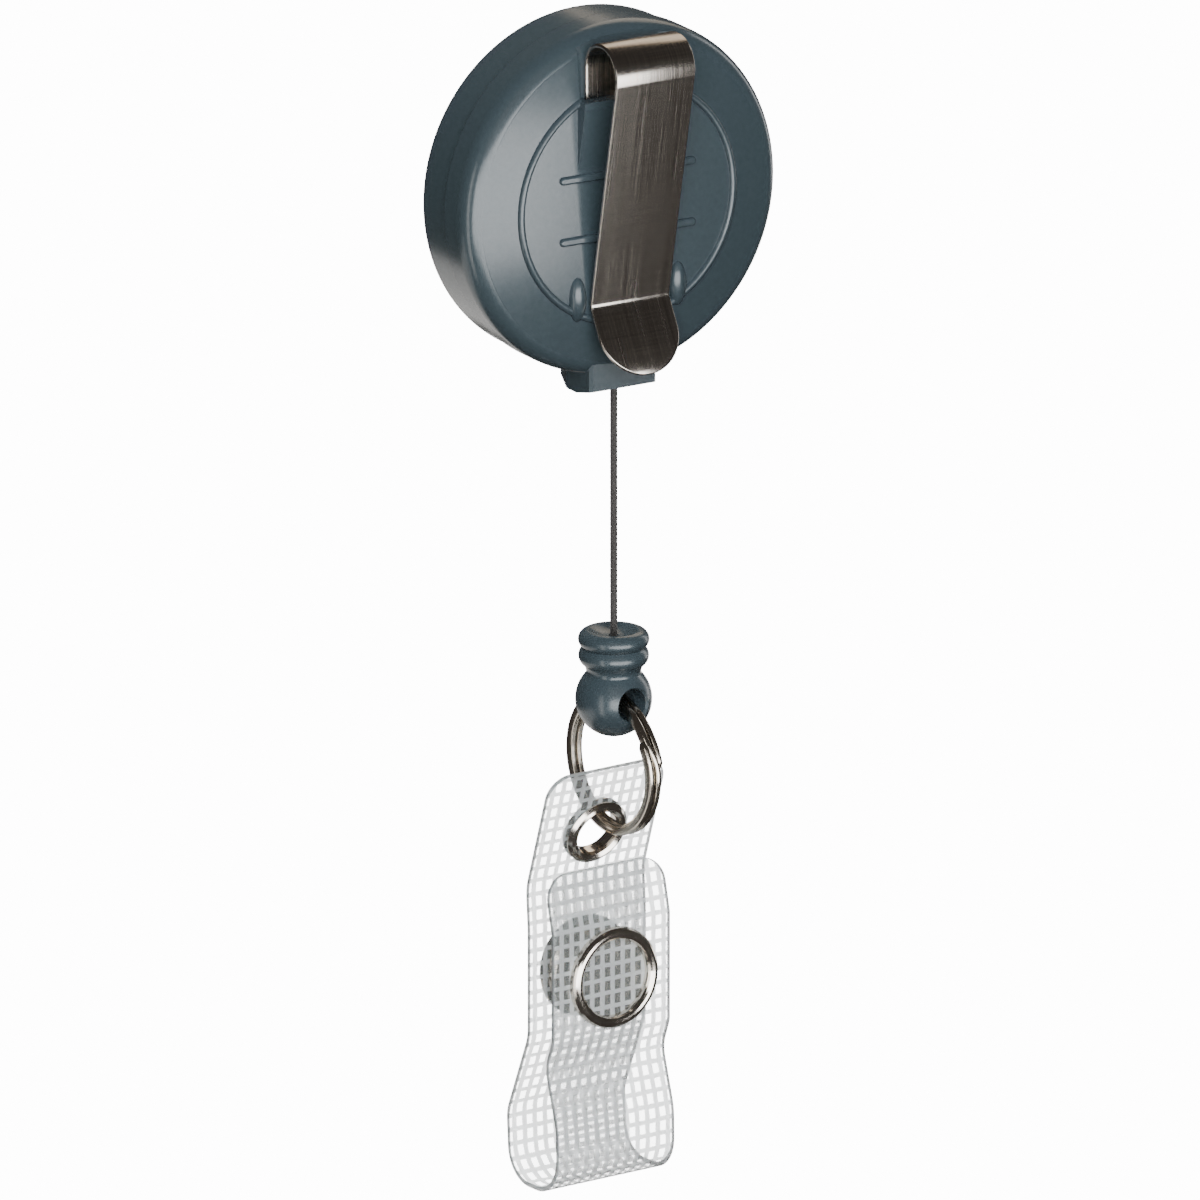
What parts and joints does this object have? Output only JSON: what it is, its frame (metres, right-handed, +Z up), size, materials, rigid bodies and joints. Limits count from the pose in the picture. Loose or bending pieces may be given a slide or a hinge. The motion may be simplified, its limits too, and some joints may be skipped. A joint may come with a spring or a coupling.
{
  "type": "retractable badge reel",
  "caption": "Round retractable badge reel with a belt clip on its back, a spring-wound cord, a bead, a split ring and a clear snap strap.",
  "frame": {"origin": "on the reel's axle, in the plane of the case's flat back face that the belt lies against", "axes": "+Z up the case, away from the cord; +Y through the case from the clip side to the plain front face; +X across the clip"},
  "size_m": [0.032, 0.0145, 0.1068],
  "materials": {
    "slate_shell": "moulded, glossy",
    "slate_bead": "moulded, glossy",
    "reel_plastic": "moulded, as cut",
    "spring_steel": "rolled, oiled",
    "clip_steel": "nickel plated, brushed along its length",
    "braid": "braided nylon",
    "ring_steel": "nickel plated wire",
    "clear_vinyl": "clear vinyl with white threads inside",
    "snap_metal": "nickel plated brass"
  },
  "bodies": {
    "housing": {"back_shell": "slate_shell", "front_shell": "slate_shell", "clip_anchor_leg": "clip_steel"},
    "clip_arm": {"clip_arm": "clip_steel"},
    "spool": {"spool": "reel_plastic", "spring_cover": "reel_plastic", "mainspring": "spring_steel", "cord_winding": "braid", "spool_knot": "braid"},
    "cord_end": {"cord": "braid", "cord_end_knot": "braid"},
    "bead": {"bead": "slate_bead"},
    "ring": {"split_ring": "ring_steel"},
    "strap": {"strap_back_run": "clear_vinyl", "eyelet": "snap_metal", "eyelet_washer": "snap_metal", "snap_stud": "snap_metal", "snap_rear_ring": "snap_metal"},
    "flap": {"strap_front_run": "clear_vinyl", "snap_front_ring": "snap_metal", "snap_socket": "snap_metal"}
  },
  "joints": [
    {"name": "clip_open", "type": "hinge", "parent": "housing", "child": "clip_arm", "pos_m": [0, -0.00217, 0.01533], "axis": [-1, 0, 0], "range_deg": [0, 14], "stiffness_Nm_per_rad": 0.3, "springref_deg": -5.73},
    {"name": "cord_pull", "type": "slide", "parent": "housing", "child": "cord_end", "axis": [0, 0, -1], "range_m": [-0.0217, 0.84], "stiffness_N_per_m": 1.15, "springref_m": -0.0218, "deforming": ["cord"]},
    {"name": "spool_spin", "type": "hinge", "parent": "housing", "child": "spool", "pos_m": [0, 0.0045, 0], "axis": [0, 1, 0], "range_deg": [-128, 4912], "deforming": ["mainspring"]},
    {"name": "bead_swivel", "type": "hinge", "parent": "cord_end", "child": "bead", "pos_m": [0, 0.0023, -0.04355], "axis": [0, 0, 1], "continuous": true},
    {"name": "ring_swing", "type": "hinge", "parent": "bead", "child": "ring", "pos_m": [0, 0.0023, -0.046], "axis": [-0.0785, 0.9969, 0], "range_deg": [-80, 80]},
    {"name": "strap_swing", "type": "hinge", "parent": "ring", "child": "strap", "pos_m": [0, 0.0023, -0.05192], "axis": [0.9969, 0.0785, 0], "range_deg": [-60, 50]},
    {"name": "flap_open", "type": "hinge", "parent": "strap", "child": "flap", "pos_m": [-0.00067, 0.00506, -0.09083], "axis": [0.9969, 0.0785, 0], "range_deg": [0, 110]}
  ],
  "couplings": [
    {"joint": "spool_spin", "follows": "cord_pull", "rad_per_m": 102}
  ]
}
